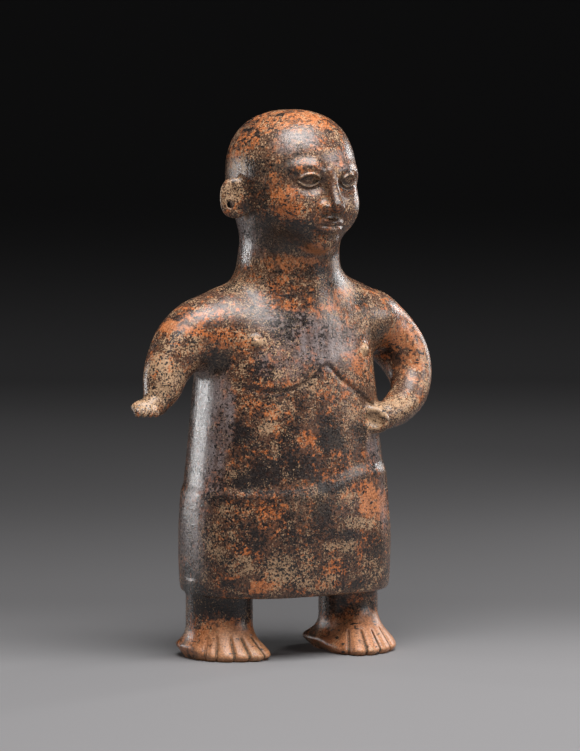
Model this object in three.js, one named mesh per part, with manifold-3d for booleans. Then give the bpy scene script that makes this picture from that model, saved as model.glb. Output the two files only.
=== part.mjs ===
// A standing woman of burnished fired clay, hand built in one piece: a columnar body in a wrapped skirt,
// short legs on wide wedge feet, a thick neck and a smooth round head. The right arm hangs away from the
// body and ends in a small hand, and the left arm curves round like a handle to the waist. Millimetres,
// Z up; the figure faces -Y. The origin is at the middle of the underside of its bounding box.

import * as THREE from "three";
import { mergeVertices } from "three/addons/utils/BufferGeometryUtils.js";
import Module from "manifold-3d";

const wasm = await Module();
wasm.setup();

const { clamp, degToRad, lerp, smoothstep } = THREE.MathUtils;

// Driving dimensions
const HEIGHT = 380;
const CHIN = 281;
const HEAD_WIDTH = 84;
const HEAD_AXIS = [0, -8]; // x and y of the upright axis through the head
const HEAD_TURN = 6; // degrees to the figure's left
const NECK_RADIUS = 35;
const HEM = 44; // underside of the skirt
const WAIST = { right: 117, left: 130.5, from: -15, to: 42 }; // top of the skirt, higher over the left hip
const BODY_LEAN = 1.2; // how far the body leans to the right above the waist
const SKIRT = { step: 1.8, edge: 4.5 }; // how far the skirt stands out from the body, and its rounded top edge
const BREAST = { step: 1.7, edge: 1.6, line: 0.55, lineWidth: 1.7 }; // the same, with a line below the edge
const SECTION_POWER = 2.6; // of the oblong section of the body, where 2 would be an ellipse

// Heights in the face, by the usual halves and thirds of a head
const EYE_LINE = (HEIGHT + CHIN) / 2;
const BROW = EYE_LINE + 6;
const NOSE_BASE = (BROW + CHIN) / 2;
const MOUTH = NOSE_BASE - (NOSE_BASE - CHIN) / 3;
const EYE_WIDTH = HEAD_WIDTH / 5;

// Forms, as functions of x, y and z that give the distance to a surface, negative inside it

// A smooth curve of value against place, through stations in order of place.
function profile(stations) {
  const last = stations.length - 1;
  const slopes = stations.map((_, i) => {
    const [p0, v0] = stations[Math.max(i - 1, 0)];
    const [p1, v1] = stations[Math.min(i + 1, last)];
    return (v1 - v0) / (p1 - p0);
  });
  return (at) => {
    if (at <= stations[0][0]) return stations[0][1];
    if (at >= stations[last][0]) return stations[last][1];
    const k = stations.findIndex(([place]) => at < place);
    const [p0, v0] = stations[k - 1];
    const [p1, v1] = stations[k];
    const t = (at - p0) / (p1 - p0);
    const tangents = (p1 - p0) * t * (1 - t) * (slopes[k - 1] * (1 - t) - slopes[k] * t);
    return lerp(v0, v1, smoothstep(t, 0, 1)) + tangents;
  };
}

// An ellipsoid by its middle and radii. A power above 2 squares it off.
function ellipsoid([cx, cy, cz], [rx, ry, rz], power = 2) {
  const raise = power === 2 ? (v) => v : (v) => v ** (power - 1);
  return (x, y, z) => {
    const px = Math.abs(x - cx) / rx;
    const py = Math.abs(y - cy) / ry;
    const pz = Math.abs(z - cz) / rz;
    const [qx, qy, qz] = [raise(px), raise(py), raise(pz)];
    const sum = px * qx + py * qy + pz * qz;
    if (sum === 0) return -Math.min(rx, ry, rz);
    const near = power === 2 ? Math.sqrt(sum) : sum ** (1 / power);
    const slope = Math.sqrt((qx / rx) ** 2 + (qy / ry) ** 2 + (qz / rz) ** 2) / raise(near);
    return (near - 1) / slope;
  };
}

// A rounded bar along a smooth curve through stations of place and radius.
function limb(stations, steps = 14) {
  const path = new THREE.CatmullRomCurve3(stations.map(([x, y, z]) => new THREE.Vector3(x, y, z)));
  const points = path.getPoints(steps);
  const radius = profile(stations.map((station, k) => [k, station[3]]));
  const radii = points.map((_, i) => radius((i / steps) * (stations.length - 1)));
  const box = new THREE.Box3().setFromPoints(points);
  const reach = Math.max(...radii) + 30;
  const { min, max } = box;
  return (x, y, z) => {
    const away = Math.max(min.x - x, x - max.x, min.y - y, y - max.y, min.z - z, z - max.z);
    if (away > reach) return away;
    let best = Infinity;
    for (let i = 0; i < steps; i++) {
      const a = points[i];
      const b = points[i + 1];
      const dx = b.x - a.x;
      const dy = b.y - a.y;
      const dz = b.z - a.z;
      const along = ((x - a.x) * dx + (y - a.y) * dy + (z - a.z) * dz) / (dx * dx + dy * dy + dz * dz);
      const t = Math.min(Math.max(along, 0), 1);
      const gap = Math.sqrt((x - a.x - t * dx) ** 2 + (y - a.y - t * dy) ** 2 + (z - a.z - t * dz) ** 2);
      best = Math.min(best, gap - lerp(radii[i], radii[i + 1], t));
    }
    return best;
  };
}

// Joins two distances with a fillet of about the given width, or cuts the second from the first.
function join(a, b, width) {
  const h = Math.max(width - Math.abs(a - b), 0) / width;
  return Math.min(a, b) - (h * h * width) / 4;
}
const cut = (a, b, width) => -join(-a, b, width);

// The body from the hem to the shoulders, a column with an oblong section
const bodyWidth = profile([
  [HEM, 72.5], [55, 73.5], [84, 74], [116, 72.5], [134, 70.5], [190, 64], [222, 60], [240, 55], [256, 44],
]);
const bodyDepth = profile([
  [HEM, 50], [55, 51.5], [84, 52], [116, 49.5], [134, 48], [190, 44], [215, 41.5], [235, 36], [256, 20],
]);

const waistHeight = (x) => lerp(WAIST.right, WAIST.left, smoothstep(x, WAIST.from, WAIST.to));

// Height of the lower edge of the breasts against x: two arcs that meet in a peak near the midline
const breastEdge = profile([
  [-60, 192], [-34, 187.5], [-18, 189], [-4, 195.5], [9, 204.5], [20, 194.5], [36, 184.5], [60, 168],
]);

function column(x, y, z) {
  const a = bodyWidth(z);
  const b = bodyDepth(z);
  const across = x + BODY_LEAN * smoothstep(z, WAIST.left, 190);
  const sum = Math.abs(across / a) ** SECTION_POWER + Math.abs(y / b) ** SECTION_POWER;
  const near = sum ** (1 / SECTION_POWER);
  const out = Math.sqrt(across * across + y * y);
  const side = near > 0 ? out - out / near : -b;
  const skirt = SKIRT.step * smoothstep(waistHeight(x) - z, -SKIRT.edge, SKIRT.edge);
  const above = z - breastEdge(x);
  const front = smoothstep(-y, 5, 25) * smoothstep(x, -62, -46);
  const breasts = BREAST.step * smoothstep(240 - z, 0, 40) * smoothstep(above, -BREAST.edge, BREAST.edge);
  const line = BREAST.line * Math.exp(-(((above + BREAST.edge) / BREAST.lineWidth) ** 2));
  return cut(cut(side - skirt - front * (breasts - line), z - HEM, 3.5), 246 - z, 24);
}

const shoulders = limb([
  [-62, 0, 227, 20.5], [-34, 1, 236.5, 23.5], [0, 1, 240, 27], [34, 0, 242, 24.5], [66, -3, 233.5, 20.5],
], 8);
const neck = limb([
  [3, 1, 238, NECK_RADIUS + 5], [2.5, -1, 264, NECK_RADIUS + 2],
  [2, -3, 284, NECK_RADIUS], [0, -5, 312, NECK_RADIUS - 2],
], 9);
const nipples = [
  ellipsoid([-42.5, -34, 220], [4, 4.4, 4]),
  ellipsoid([44, -33, 213], [3.8, 4.4, 3.8]),
];

function torso(x, y, z) {
  let d = column(x, y, z);
  if (z < 180) return d;
  d = join(d, shoulders(x, y, z), 20);
  d = join(d, neck(x, y, z), 14);
  if (y < -20 && z < 235) for (const nipple of nipples) d = join(d, nipple(x, y, z), 3);
  return d;
}

// The head, about its own upright axis
const skull = ellipsoid([0, 0, HEIGHT - 45], [HEAD_WIDTH / 2, 47, 45], 2.3);
const jaw = ellipsoid([0, -11, CHIN + 26], [34, 36, 26]);
const chin = ellipsoid([0, -38, CHIN + 8], [11, 8, 8]);
const cheek = ellipsoid([17, -32, 313], [13, 12, 13]);
const socket = ellipsoid([EYE_WIDTH, -50, EYE_LINE - 1], [10.5, 6.5, 7.5]);
const brow = limb([
  [3, -46, BROW - 1.5, 3], [13, -44.5, BROW + 2, 3.4], [24, -38, BROW + 1, 2.8], [34, -27, BROW - 6, 1],
], 9);
const nose = limb([[0, -47, BROW, 3], [0, -51, EYE_LINE - 8, 4.3], [0, -54.5, NOSE_BASE + 4.5, 5.6]], 6);
const noseWing = ellipsoid([6, -49.5, NOSE_BASE + 3], [3.4, 5, 3.8]);
const nostril = ellipsoid([3.6, -53, NOSE_BASE - 1.5], [1.6, 2.6, 2.4]);
const upperLip = limb([
  [-6, -47, MOUTH + 2.4, 2.2], [0, -48.4, MOUTH + 1.9, 2.4],
  [6, -47, MOUTH + 2.4, 2.2], [12.5, -43, MOUTH + 0.3, 1],
], 9);
const lowerLip = limb([
  [-6, -46.4, MOUTH - 2.2, 2.5], [0, -47.4, MOUTH - 2.6, 2.9],
  [6, -46.4, MOUTH - 2.2, 2.5], [12, -43, MOUTH - 0.2, 1],
], 9);

// Height of the modelled lids and eyeball over the face, across and up from the middle of an eye.
function eyeRelief(u, v) {
  const half = 4.2 * (1 - (u / (EYE_WIDTH / 2)) ** 2);
  if (half <= 0) return 0;
  const lid = Math.exp(-(((Math.abs(v) - half) / 1.1) ** 2));
  const ball = smoothstep(half - Math.abs(v), 0, 2) * (1.4 - 0.03 * (u * u + v * v));
  return Math.min(half / 1.5, 1) * Math.max(2 * lid, ball);
}

// An ear, as a flap that opens forwards from the side of the head, with a pierced lobe
const EAR = { out: 46, back: 2, height: 318.5, flare: degToRad(40) };
const flap = ellipsoid([0, 0, 0], [10.5, 3.8, 14], 2.4);
const hollow = ellipsoid([0.5, -5.2, 3], [4.5, 3, 7]);
const pierced = limb([[2.5, -6, -4.5, 2.6], [2.5, 0, -4.5, 2.3], [2.5, 6, -4.5, 2.6]], 2);

function withEar(d, out, back, z) {
  if (out < 20 || Math.abs(z - EAR.height) > 30) return d;
  const [c, s] = [Math.cos(EAR.flare), Math.sin(EAR.flare)];
  const across = (out - EAR.out) * c + (back - EAR.back) * s;
  const through = (back - EAR.back) * c - (out - EAR.out) * s;
  const up = z - EAR.height;
  const outer = cut(flap(across, through, up), hollow(across, through, up), 2);
  return cut(join(d, outer, 4), pierced(across, through, up), 1.2);
}

function head(x, y, z) {
  const turn = degToRad(HEAD_TURN);
  const dx = x - HEAD_AXIS[0];
  const dy = y - HEAD_AXIS[1];
  const side = Math.abs(dx * Math.cos(turn) + dy * Math.sin(turn));
  const back = dy * Math.cos(turn) - dx * Math.sin(turn);
  let d = join(skull(side, back, z), jaw(side, back, z), 14);
  if (d > 24) return d;
  if (back < -20) {
    d = join(d, cheek(side, back, z), 12);
    d = join(d, chin(side, back, z), 8);
    d = cut(d, socket(side, back, z), 5);
    d = join(d, brow(side, back, z), 7);
    d = join(d, join(nose(side, back, z), noseWing(side, back, z), 2.5), 4);
    d = cut(d, nostril(side, back, z), 1);
    d = join(d, join(upperLip(side, back, z), lowerLip(side, back, z), 0.8), 3);
    d -= eyeRelief(side - EYE_WIDTH, z - EYE_LINE);
  }
  return withEar(d, side, back, z);
}

// The right arm hangs away from the side and ends in a mitten with the fingers turned down
const rightArm = limb([
  [-50, 0, 230, 22], [-77.5, -1, 222.5, 20.5], [-94, -4, 203, 16.5],
  [-102, -8, 187, 13.2], [-107.5, -11, 179, 9],
]);
const rightPalm = ellipsoid([-117.5, -13, 176.8], [9.5, 7, 5.3]);
const rightFingers = [0, 1, 2, 3].map((k) => {
  const x = -126 + 4.6 * k;
  return limb([[x, -15, 177, 2.6], [x - 0.5, -19.5, 175, 2.6], [x - 0.5, -21, 172.5, 2.3]], 3);
});

// The left arm curves round like a handle. Its upper part is broad from front to back, and its hand rests on
// the waist, with the fingers rolled into an oval ring round a shallow hollow.
const leftArm = limb([
  [50, 0, 232, 19], [77.5, -1, 232, 16.3], [95, -6, 213.5, 15], [98.8, -10, 196, 14.3],
  [92, -17, 180.5, 13.3], [77, -26, 170, 11.5], [63, -34, 166, 9.5],
]);
const leftArmBack = limb([[52, 6, 230, 18], [76, 8, 222, 14.5], [90, 5, 208, 12.5], [96, -2, 198, 12]], 6);
const fist = {
  x: 50.5, y: -39, z: 164, turn: degToRad(-40), tilt: degToRad(-30), ring: 6, finger: 3, oval: 1.2,
};
const leftPalm = ellipsoid([fist.x + 2.5, fist.y + 3.5, fist.z], [9, 8, 8.5]);
const fistHollow = ellipsoid([0, -5.4, 0], [6.6, 3.2, 5.2]);

// The rolled fingers, as one ring that is wider than it is high
function fistRing(across, through, up) {
  const out = Math.hypot(across / fist.oval, up) - fist.ring;
  return Math.sqrt(out * out + (through + 1) ** 2) - fist.finger;
}

function withRightArm(d, x, y, z) {
  const arm = rightArm(x, y, z);
  if (x > -100) return join(d, arm, 12);
  let hand = join(arm, rightPalm(x, y, z), 4);
  for (const finger of rightFingers) hand = join(hand, finger(x, y, z), 1);
  return join(d, hand, 12);
}

function withLeftArm(d, x, y, z) {
  const arm = join(leftArm(x, y, z), leftArmBack(x, y, z), 10);
  if (y > -20 || z > 190) return join(d, arm, 8);
  const [c, s] = [Math.cos(fist.turn), Math.sin(fist.turn)];
  const level = (x - fist.x) * c + (y - fist.y) * s;
  const through = (y - fist.y) * c - (x - fist.x) * s;
  const across = level * Math.cos(fist.tilt) + (z - fist.z) * Math.sin(fist.tilt);
  const up = (z - fist.z) * Math.cos(fist.tilt) - level * Math.sin(fist.tilt);
  const hand = join(join(arm, leftPalm(x, y, z), 5), fistRing(across, through, up), 2.5);
  return cut(join(d, hand, 5), fistHollow(across, through, up), 1.5);
}

// Legs and feet. Each foot slopes down from the ankle to a rounded rim, low at the toes and higher elsewhere,
// and is tucked in under it. The toes are parted by cut lines, which fan out from the ankle at the given
// angles, from the inner side to the outer.
const FEET = [
  { side: -1, x: 52, y: 1, radius: 23.5, width: 28, front: 39, back: 31, lines: [-21, -5, 11, 32, 48] },
  { side: 1, x: 48.5, y: -6, radius: 21, width: 29.5, front: 46, back: 34, lines: [-30, -15, 0, 17] },
];
const INSTEP = { skew: 0.35, power: 2.6 };
const SIDE_RIM = { height: 8.5, tuck: 9, slope: 22 };
const TOE_RIM = { height: 4, tuck: 3.5, slope: 40 };
const TOE_LINE = { depth: 1.9, width: 1.3, swell: 0.9, spread: 3.2, top: 18 };
const FLOOR_SPARE = 3; // clay below the floor, sliced off at the end to leave flat soles

// Depth of the lines between the toes, each a narrow cut in a shallow valley
function toeLines(lines, out, ahead, away, z) {
  const angle = Math.atan2(out, ahead);
  const gap = Math.min(...lines.map((line) => Math.abs(angle - degToRad(line)))) * away;
  const line = TOE_LINE.depth * Math.exp(-((gap / TOE_LINE.width) ** 2));
  const valley = TOE_LINE.swell * Math.exp(-((gap / TOE_LINE.spread) ** 2));
  return line * smoothstep(TOE_LINE.top - z, 0, 4) + valley * smoothstep(TOE_LINE.top - z, 0, 12);
}

function leg({ side, x: legX, y: legY, radius, width, front, back, lines }, x, y, z) {
  const out = side * x - legX;
  const ahead = legY - y;
  const away = Math.max(Math.sqrt(out * out + ahead * ahead), 1);
  const shaft = Math.max(away - radius, z - HEM - 10);
  const reach = ahead > 0 ? front - INSTEP.skew * out : back;
  const { power } = INSTEP;
  const plan = (Math.abs(out / width) ** power + Math.abs(ahead / reach) ** power) ** (1 / power);
  const outline = away / Math.max(plan, 1e-6);
  const forward = smoothstep(ahead / away, 0.2, 0.9);
  const rimPart = (name) => lerp(SIDE_RIM[name], TOE_RIM[name], forward);
  const [rim, tuck, rise] = ["height", "tuck", "slope"].map(rimPart);
  const wall = away - outline + tuck * clamp((rim - z) / rim, 0, 1) ** 1.5;
  const run = outline / rise;
  const slope = (away - outline + (z - rim) * run) / Math.sqrt(1 + run * run);
  let foot = cut(slope, -wall, 2.5);
  if (ahead > 0 && Math.abs(foot) < 12) foot += toeLines(lines, out, ahead, away, z);
  return join(shaft, foot, 7);
}

function figure(x, y, z) {
  let d = torso(x, y, z);
  if (z > CHIN - 30) d = join(d, head(x, y, z), 10);
  d = withRightArm(d, x, y, z);
  d = withLeftArm(d, x, y, z);
  if (z < HEM + 12) for (const foot of FEET) d = join(d, leg(foot, x, y, z), 2);
  return Math.max(d, -FLOOR_SPARE - z);
}

// Samples a distance on a grid of the given step, in blocks, and leaves out the blocks far from the surface.
function sample(distance, box, step, block = 4) {
  const count = (from, to) => block * Math.ceil((to - from) / (block * step)) + 1;
  const size = [0, 1, 2].map((axis) => count(box.min.getComponent(axis), box.max.getComponent(axis)));
  const [nx, ny, nz] = size;
  const values = new Float32Array(nx * ny * nz);
  const near = (Math.sqrt(3) * block * step) / 2;
  const place = (i, j, k) => [box.min.x + i * step, box.min.y + j * step, box.min.z + k * step];
  for (let k0 = 0; k0 < nz; k0 += block)
    for (let j0 = 0; j0 < ny; j0 += block)
      for (let i0 = 0; i0 < nx; i0 += block) {
        const middle = distance(...place(i0 + block / 2, j0 + block / 2, k0 + block / 2));
        const far = Math.abs(middle) > near + 6 * step;
        for (let k = k0; k < Math.min(k0 + block, nz); k++)
          for (let j = j0; j < Math.min(j0 + block, ny); j++)
            for (let i = i0; i < Math.min(i0 + block, nx); i++)
              values[i + nx * (j + ny * k)] = far ? middle : distance(...place(i, j, k));
      }
  return { values, size, place };
}

// The corners of a cell by number, one bit for each axis, its twelve edges, and the rings of edges round its
// six sides.
const CORNERS = [0, 1, 2, 3, 4, 5, 6, 7].map((c) => [c & 1, (c >> 1) & 1, c >> 2]);
const EDGES = CORNERS.flatMap((_, a) => [1, 2, 4].filter((bit) => !(a & bit)).map((bit) => [a, a | bit]));
const RINGS = [1, 2, 4].flatMap((bit) => {
  const [p, q] = [1, 2, 4].filter((other) => other !== bit);
  return [0, bit].map((side) => {
    const ring = [side, side | p, side | p | q, side | q];
    const edgeOf = (a, b) => EDGES.findIndex((edge) => edge.includes(a) && edge.includes(b));
    return { start: ring[1], edges: ring.map((corner, i) => edgeOf(corner, ring[(i + 1) % 4])) };
  });
});

// Sorts the edges of a cell that cross the surface into patches, one for each sheet of surface in the cell.
function patches(inside) {
  const crossing = EDGES.map(([a, b]) => inside[a] !== inside[b]);
  const patch = EDGES.map((_, e) => e);
  const unite = (e, f) => {
    const [from, to] = [patch[e], patch[f]];
    patch.forEach((p, i) => p === from && (patch[i] = to));
  };
  for (const { start, edges } of RINGS) {
    const across = edges.filter((e) => crossing[e]);
    if (across.length === 2) unite(across[0], across[1]);
    if (across.length < 4) continue;
    const turn = inside[start] ? 0 : 1;
    unite(edges[turn], edges[turn + 1]);
    unite(edges[turn + 2], edges[(turn + 3) % 4]);
  }
  return [...new Set(patch)].map((p) => EDGES.flatMap((_, e) => (patch[e] === p && crossing[e] ? e : [])));
}

// Turns a distance into a closed mesh, with a vertex for each sheet of the surface in each cell of the grid.
function surfaceNet(distance, box, step) {
  const { values, size, place } = sample(distance, box, step);
  const [nx, ny, nz] = size;
  const strides = [1, nx, nx * ny];
  const offsets = CORNERS.map(([a, b, c]) => a + nx * b + nx * ny * c);
  const vertices = [];
  const vertexOf = new Map();
  for (let k = 0; k < nz - 1; k++)
    for (let j = 0; j < ny - 1; j++)
      for (let i = 0; i < nx - 1; i++) {
        const cell = i + nx * (j + ny * k);
        const corner = offsets.map((offset) => values[cell + offset]);
        const inside = corner.map((value) => value < 0);
        if (inside.every((value) => value === inside[0])) continue;
        for (const patch of patches(inside).filter((edges) => edges.length)) {
          const sum = [0, 0, 0];
          for (const e of patch) {
            const [a, b] = EDGES[e];
            const t = corner[a] / (corner[a] - corner[b]);
            for (let axis = 0; axis < 3; axis++) sum[axis] += lerp(CORNERS[a][axis], CORNERS[b][axis], t);
            vertexOf.set(12 * cell + e, vertices.length);
          }
          const at = [i, j, k].map((n, axis) => n + sum[axis] / patch.length);
          vertices.push(onSurface(distance, place(...at), step));
        }
      }

  // Each edge of the grid that crosses the surface gives a square, from the four cells around the edge.
  const faces = [];
  const edgeFrom = (a, b) => EDGES.findIndex((edge) => edge[0] === a && edge[1] === b);
  const squares = [0, 1, 2].map((axis) => {
    const [along, p, q] = [0, 1, 2].map((turn) => (axis + turn) % 3);
    const [u, v, w] = [1 << along, 1 << p, 1 << q];
    const cells = [0, strides[p], strides[p] + strides[q], strides[q]];
    const starts = [0, v, v | w, w];
    return cells.map((back, i) => ({ back, edge: edgeFrom(starts[i], starts[i] | u) }));
  });
  for (const key of vertexOf.keys()) {
    const cell = Math.floor(key / 12);
    const axis = squares.findIndex((square) => square[0].edge === key % 12);
    if (axis < 0) continue;
    const ring = squares[axis].map(({ back, edge }) => vertexOf.get(12 * (cell - back) + edge));
    if (ring.includes(undefined)) continue;
    if (values[cell] >= 0) ring.reverse();
    faces.push([ring[0], ring[1], ring[2]], [ring[0], ring[2], ring[3]]);
  }
  return { vertices, faces };
}

// Slides a point down the slope of the distance to the surface, and no further than half a step each time.
function onSurface(distance, point, step) {
  let [x, y, z] = point;
  const h = 0.05;
  for (let pass = 0; pass < 2; pass++) {
    const d = distance(x, y, z);
    const gx = (distance(x + h, y, z) - d) / h;
    const gy = (distance(x, y + h, z) - d) / h;
    const gz = (distance(x, y, z + h) - d) / h;
    const move = clamp(-d / (gx * gx + gy * gy + gz * gz + 0.1), -step / 2, step / 2);
    x += move * gx;
    y += move * gy;
    z += move * gz;
  }
  return [x, y, z];
}

// Thins a closed mesh out to a number of faces, each time by the edge whose loss bends the surface least. The
// cost of a place is the sum of its squared distances to the planes of the faces that were merged there.
function thin({ vertices, faces }, target) {
  const facesOf = vertices.map(() => new Set());
  faces.forEach((face, f) => face.forEach((v) => facesOf[v].add(f)));
  const normal = (a, b, c) => {
    const [ux, uy, uz] = [b[0] - a[0], b[1] - a[1], b[2] - a[2]];
    const [vx, vy, vz] = [c[0] - a[0], c[1] - a[1], c[2] - a[2]];
    return [uy * vz - uz * vy, uz * vx - ux * vz, ux * vy - uy * vx];
  };
  const planes = vertices.map(() => new Float64Array(10));
  for (const face of faces) {
    const [a, b, c] = face.map((v) => vertices[v]);
    const n = normal(a, b, c);
    const area = Math.hypot(...n) || 1;
    const p = n.map((value) => value / area);
    p.push(-(p[0] * a[0] + p[1] * a[1] + p[2] * a[2]));
    for (const v of face) {
      let at = 0;
      for (let i = 0; i < 4; i++) for (let j = i; j < 4; j++) planes[v][at++] += area * p[i] * p[j];
    }
  }
  const cost = (q, [x, y, z]) => {
    const squares = q[0] * x * x + q[4] * y * y + q[7] * z * z;
    const products = q[1] * x * y + q[2] * x * z + q[5] * y * z;
    return squares + 2 * (products + q[3] * x + q[6] * y + q[8] * z) + q[9];
  };
  const merged = (a, b) => {
    const q = planes[a].map((value, i) => value + planes[b][i]);
    const middle = vertices[a].map((value, i) => (value + vertices[b][i]) / 2);
    const matrix = new THREE.Matrix3().set(q[0], q[1], q[2], q[1], q[4], q[5], q[2], q[5], q[7]);
    const choices = [middle, vertices[a], vertices[b]];
    if (Math.abs(matrix.determinant()) > 1e-4 * q[0] * q[4] * q[7]) {
      const best = new THREE.Vector3(-q[3], -q[6], -q[8]).applyMatrix3(matrix.invert()).toArray();
      const reach = Math.hypot(...middle.map((value, i) => value - vertices[a][i]));
      if (Math.hypot(...middle.map((value, i) => value - best[i])) < 2 * reach) choices.unshift(best);
    }
    let place = choices[0];
    for (const choice of choices) if (cost(q, choice) < cost(q, place)) place = choice;
    return { q, place, cost: cost(q, place) };
  };

  // A heap of edges, the cheapest first. An edge with an old stamp is passed over.
  const stamps = new Int32Array(vertices.length);
  const heap = [];
  const swap = (i, j) => ([heap[i], heap[j]] = [heap[j], heap[i]]);
  const above = (i) => (i - 1) >> 1;
  const push = (a, b) => {
    heap.push({ a, b, cost: merged(a, b).cost, stamp: stamps[a] + stamps[b] });
    let i = heap.length - 1;
    for (; i > 0 && heap[i].cost < heap[above(i)].cost; i = above(i)) swap(i, above(i));
  };
  const pop = () => {
    swap(0, heap.length - 1);
    const top = heap.pop();
    for (let i = 0, next = 1; next < heap.length; i = next, next = 2 * i + 1) {
      if (next + 1 < heap.length && heap[next + 1].cost < heap[next].cost) next++;
      if (heap[i].cost <= heap[next].cost) break;
      swap(i, next);
    }
    return top;
  };
  const around = (v) => {
    const ring = new Set();
    for (const f of facesOf[v]) for (const w of faces[f]) if (w !== v) ring.add(w);
    return ring;
  };
  faces.forEach((face) => face.forEach((a, i) => a < face[(i + 1) % 3] && push(a, face[(i + 1) % 3])));

  let left = faces.length;
  while (left > target && heap.length) {
    const { a, b, stamp } = pop();
    if (!facesOf[a].size || !facesOf[b].size || stamp !== stamps[a] + stamps[b]) continue;
    const ringB = around(b);
    if ([...around(a)].filter((v) => ringB.has(v)).length !== 2) continue;
    const { q, place } = merged(a, b);
    const turns = [a, b].some((v) =>
      [...facesOf[v]].some((f) => {
        if (faces[f].includes(a) && faces[f].includes(b)) return false;
        const before = normal(...faces[f].map((w) => vertices[w]));
        const after = normal(...faces[f].map((w) => (w === v ? place : vertices[w])));
        const dot = before[0] * after[0] + before[1] * after[1] + before[2] * after[2];
        return dot < 0.3 * Math.hypot(...before) * Math.hypot(...after) || Math.hypot(...after) < 1e-3;
      }),
    );
    if (turns) continue;
    for (const f of [...facesOf[b]]) {
      if (faces[f].includes(a)) {
        for (const v of faces[f]) facesOf[v].delete(f);
        faces[f] = null;
        left--;
      } else {
        faces[f] = faces[f].map((v) => (v === b ? a : v));
        facesOf[a].add(f);
      }
    }
    facesOf[b].clear();
    vertices[a] = place;
    planes[a] = q;
    stamps[a]++;
    stamps[b]++;
    for (const v of around(a)) push(Math.min(a, v), Math.max(a, v));
  }
  return { vertices, faces: faces.filter((face) => face) };
}

// Solids for cutting, from vertices and faces
function solid({ vertices, faces }) {
  const used = [...new Set(faces.flat())];
  const numberOf = new Map(used.map((v, i) => [v, i]));
  const vertProperties = Float32Array.from(used.flatMap((v) => vertices[v]));
  const triVerts = Uint32Array.from(faces.flat().map((v) => numberOf.get(v)));
  return new wasm.Manifold(new wasm.Mesh({ numProp: 3, vertProperties, triVerts }));
}

function block(box) {
  const size = box.getSize(new THREE.Vector3());
  const geometry = new THREE.BoxGeometry(...size).translate(...box.getCenter(new THREE.Vector3()));
  geometry.deleteAttribute("normal").deleteAttribute("uv");
  const { attributes, index } = mergeVertices(geometry);
  const vertices = Array.from({ length: attributes.position.count }, (_, i) => [
    attributes.position.getX(i), attributes.position.getY(i), attributes.position.getZ(i),
  ]);
  const faces = Array.from({ length: index.count / 3 }, (_, i) => [...index.array.slice(3 * i, 3 * i + 3)]);
  return solid({ vertices, faces });
}

const MESH_STEP = 1.7;
const FACE_COUNT = 9400;
const room = new THREE.Box3(new THREE.Vector3(-136, -72, -6), new THREE.Vector3(122, 62, HEIGHT + 6));
const light = thin(surfaceNet(figure, room, MESH_STEP), FACE_COUNT);

// The clay below the floor is sliced off, and the figure moved to stand over the origin.
const below = new THREE.Box3(room.min.clone().setZ(-2 * HEIGHT), room.max.clone().setZ(0));
const standing = solid(light).subtract(block(below)).getMesh();

const geometry = new THREE.BufferGeometry();
geometry.setAttribute("position", new THREE.BufferAttribute(Float32Array.from(standing.vertProperties), 3));
geometry.setIndex(new THREE.BufferAttribute(Uint32Array.from(standing.triVerts), 1));
geometry.computeBoundingBox();
const middle = geometry.boundingBox.getCenter(new THREE.Vector3());
geometry.translate(-middle.x, -middle.y, 0);
geometry.computeVertexNormals();

const clay = new THREE.MeshStandardMaterial({ color: 0x8a5a3c, roughness: 0.4, metalness: 0 });
const woman = new THREE.Mesh(geometry, clay);
woman.name = "figure";
const group = new THREE.Group();
group.add(woman);
export default group;
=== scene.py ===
"""A standing woman of burnished fired clay on a plain studio floor.

The figure's form is one distance function of x, y and z, built from the sizes below in millimetres, with the
figure facing -Y. It is turned into a mesh, moved to where the frame's solid stands, and given a procedural
burnished finish. Blender units are metres.
"""

import math

import bpy
import numpy as np
import openvdb
from bpy.props import FloatProperty, FloatVectorProperty, IntProperty, PointerProperty
from mathutils import Matrix, Vector


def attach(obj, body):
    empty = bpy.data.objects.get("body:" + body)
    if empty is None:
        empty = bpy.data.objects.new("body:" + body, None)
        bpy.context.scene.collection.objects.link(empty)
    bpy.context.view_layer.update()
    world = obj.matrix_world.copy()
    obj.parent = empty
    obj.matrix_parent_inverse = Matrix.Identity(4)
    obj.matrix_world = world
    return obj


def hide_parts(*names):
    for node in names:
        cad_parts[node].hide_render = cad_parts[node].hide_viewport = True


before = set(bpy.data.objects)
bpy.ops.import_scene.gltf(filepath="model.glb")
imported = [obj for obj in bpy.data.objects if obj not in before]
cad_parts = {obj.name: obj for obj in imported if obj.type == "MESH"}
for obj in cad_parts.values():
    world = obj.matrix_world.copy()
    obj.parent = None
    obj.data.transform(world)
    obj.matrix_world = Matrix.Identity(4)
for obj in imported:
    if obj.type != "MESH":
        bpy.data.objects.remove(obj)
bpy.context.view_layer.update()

bl_info = {
    "name": "Burnished clay woman",
    "version": (1, 0, 0),
    "blender": (4, 5, 0),
    "location": "3D View > Sidebar > Clay",
    "description": "Adds a standing woman of burnished fired clay, and a plain studio round it",
    "category": "Add Mesh",
}

MM = 0.001

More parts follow.
